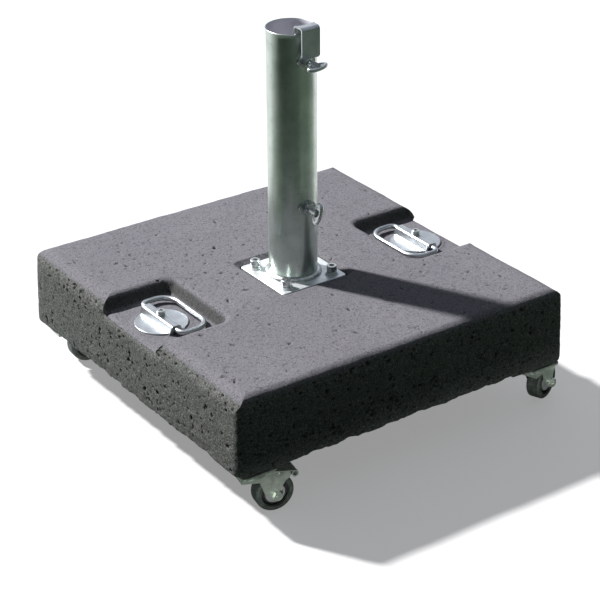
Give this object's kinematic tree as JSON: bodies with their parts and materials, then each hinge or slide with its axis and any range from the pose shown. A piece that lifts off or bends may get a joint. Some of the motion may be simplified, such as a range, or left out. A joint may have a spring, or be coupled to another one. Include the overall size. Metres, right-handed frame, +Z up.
{
  "type": "parasol base",
  "caption": "Rolling concrete parasol base: square slab with fold-flat carrying handles, flanged steel pole tube with clamp strap and wing screws, on braked swivel casters.",
  "frame": {"origin": "on the ground, below the pole tube's axis, at the centre of the slab", "axes": "+Z up along the pole tube; -Y towards the wing screws; the handles are at -X and +X"},
  "size_m": [0.6389, 0.6084, 0.617],
  "materials": {
    "concrete": "cast, open pores",
    "zinc_bright": "bright zinc plate",
    "tube_steel": "galvanised, satin",
    "bolt_steel": "zinc plated",
    "insert_steel": "plain steel",
    "caster_steel": "zinc plated sheet",
    "tyre_rubber": "grey-black rubber",
    "hub_plastic": "grey",
    "shoe_rubber": "black",
    "seat_plastic": "black"
  },
  "bodies": {
    "base": {"concrete_block": "concrete", "flange_plate": "zinc_bright", "flange_inserts": "insert_steel", "flange_washers": "zinc_bright", "flange_spring_washers": "bolt_steel", "flange_screws": "bolt_steel", "pole_tube": "tube_steel", "tube_weld": "tube_steel", "pole_seat_ring": "seat_plastic", "weld_nuts": "bolt_steel", "nut_welds": "tube_steel", "left_handle_plate": "zinc_bright", "left_handle_screw": "bolt_steel", "left_handle_insert": "insert_steel", "right_handle_plate": "zinc_bright", "right_handle_screw": "bolt_steel", "right_handle_insert": "insert_steel", "caster_screws": "bolt_steel", "caster_inserts": "insert_steel", "caster_kingpins": "bolt_steel", "caster_bearing_balls": "bolt_steel", "front_left_caster_plate": "caster_steel", "front_right_caster_plate": "caster_steel", "rear_right_caster_plate": "caster_steel", "rear_left_caster_plate": "caster_steel"},
    "clamp_strap": {"clamp_strap": "zinc_bright"},
    "upper_wing_screw": {"upper_wing_screw": "bolt_steel"},
    "lower_clamp_pad": {"lower_clamp_pad": "bolt_steel"},
    "lower_wing_screw": {"lower_wing_screw": "bolt_steel"},
    "left_handle_loop": {"left_handle_loop": "zinc_bright"},
    "right_handle_loop": {"right_handle_loop": "zinc_bright"},
    "front_left_fork": {"front_left_fork": "caster_steel", "front_left_fork_pins": "caster_steel"},
    "front_left_wheel": {"front_left_tyre": "tyre_rubber", "front_left_wheel_hub": "hub_plastic"},
    "front_left_pedal": {"front_left_brake_pedal": "caster_steel", "front_left_brake_shoe": "shoe_rubber"},
    "front_right_fork": {"front_right_fork": "caster_steel", "front_right_fork_pins": "caster_steel"},
    "front_right_wheel": {"front_right_tyre": "tyre_rubber", "front_right_wheel_hub": "hub_plastic"},
    "front_right_pedal": {"front_right_brake_pedal": "caster_steel", "front_right_brake_shoe": "shoe_rubber"},
    "rear_right_fork": {"rear_right_fork": "caster_steel", "rear_right_fork_pins": "caster_steel"},
    "rear_right_wheel": {"rear_right_tyre": "tyre_rubber", "rear_right_wheel_hub": "hub_plastic"},
    "rear_right_pedal": {"rear_right_brake_pedal": "caster_steel", "rear_right_brake_shoe": "shoe_rubber"},
    "rear_left_fork": {"rear_left_fork": "caster_steel", "rear_left_fork_pins": "caster_steel"},
    "rear_left_wheel": {"rear_left_tyre": "tyre_rubber", "rear_left_wheel_hub": "hub_plastic"},
    "rear_left_pedal": {"rear_left_brake_pedal": "caster_steel", "rear_left_brake_shoe": "shoe_rubber"}
  },
  "joints": [
    {"name": "strap_press", "type": "slide", "parent": "base", "child": "clamp_strap", "axis": [0, 1, 0], "range_m": [0, 0.006]},
    {"name": "upper_screw_turn", "type": "hinge", "parent": "clamp_strap", "child": "upper_wing_screw", "pos_m": [0, -0.067, 0.56], "axis": [0, 1, 0], "range_deg": [0, 1440]},
    {"name": "lower_pad_press", "type": "slide", "parent": "base", "child": "lower_clamp_pad", "axis": [0, 1, 0], "range_m": [0, 0.006]},
    {"name": "lower_screw_turn", "type": "hinge", "parent": "lower_clamp_pad", "child": "lower_wing_screw", "pos_m": [0, -0.067, 0.325], "axis": [0, 1, 0], "range_deg": [0, 1440]},
    {"name": "left_handle_lift", "type": "hinge", "parent": "base", "child": "left_handle_loop", "pos_m": [-0.242, 0, 0.1922], "axis": [0, -1, 0], "range_deg": [0, 180]},
    {"name": "right_handle_lift", "type": "hinge", "parent": "base", "child": "right_handle_loop", "pos_m": [0.242, 0, 0.1922], "axis": [0, 1, 0], "range_deg": [0, 180]},
    {"name": "front_left_swivel", "type": "hinge", "parent": "base", "child": "front_left_fork", "pos_m": [-0.2645, -0.272, 0.07], "axis": [0, 0, 1], "continuous": true},
    {"name": "front_left_roll", "type": "hinge", "parent": "front_left_fork", "child": "front_left_wheel", "pos_m": [-0.23108, -0.27825, 0.03], "axis": [0.184, 0.9829, 0], "continuous": true},
    {"name": "front_left_brake", "type": "hinge", "parent": "front_left_fork", "child": "front_left_pedal", "pos_m": [-0.22518, -0.27936, 0.0635], "axis": [-0.184, -0.9829, 0], "range_deg": [0, 34]},
    {"name": "front_right_swivel", "type": "hinge", "parent": "base", "child": "front_right_fork", "pos_m": [0.2645, -0.272, 0.07], "axis": [0, 0, 1], "continuous": true},
    {"name": "front_right_roll", "type": "hinge", "parent": "front_right_fork", "child": "front_right_wheel", "pos_m": [0.29602, -0.25926, 0.03], "axis": [-0.3746, 0.9272, 0], "continuous": true},
    {"name": "front_right_brake", "type": "hinge", "parent": "front_right_fork", "child": "front_right_pedal", "pos_m": [0.30159, -0.25702, 0.0635], "axis": [0.3746, -0.9272, 0], "range_deg": [-34, 0]},
    {"name": "rear_right_swivel", "type": "hinge", "parent": "base", "child": "rear_right_fork", "pos_m": [0.2645, 0.272, 0.07], "axis": [0, 0, 1], "continuous": true},
    {"name": "rear_right_roll", "type": "hinge", "parent": "rear_right_fork", "child": "rear_right_wheel", "pos_m": [0.23108, 0.27825, 0.03], "axis": [-0.184, -0.9829, 0], "continuous": true},
    {"name": "rear_right_brake", "type": "hinge", "parent": "rear_right_fork", "child": "rear_right_pedal", "pos_m": [0.22518, 0.27936, 0.0635], "axis": [0.184, 0.9829, 0], "range_deg": [0, 34]},
    {"name": "rear_left_swivel", "type": "hinge", "parent": "base", "child": "rear_left_fork", "pos_m": [-0.2645, 0.272, 0.07], "axis": [0, 0, 1], "continuous": true},
    {"name": "rear_left_roll", "type": "hinge", "parent": "rear_left_fork", "child": "rear_left_wheel", "pos_m": [-0.23058, 0.26963, 0.03], "axis": [0.0698, 0.9976, 0], "continuous": true},
    {"name": "rear_left_brake", "type": "hinge", "parent": "rear_left_fork", "child": "rear_left_pedal", "pos_m": [-0.2246, 0.26921, 0.0635], "axis": [-0.0698, -0.9976, 0], "range_deg": [-34, 0]}
  ],
  "couplings": [
    {"joint": "upper_screw_turn", "follows": "strap_press", "rad_per_m": 4188.7},
    {"joint": "lower_screw_turn", "follows": "lower_pad_press", "rad_per_m": 4188.7}
  ]
}
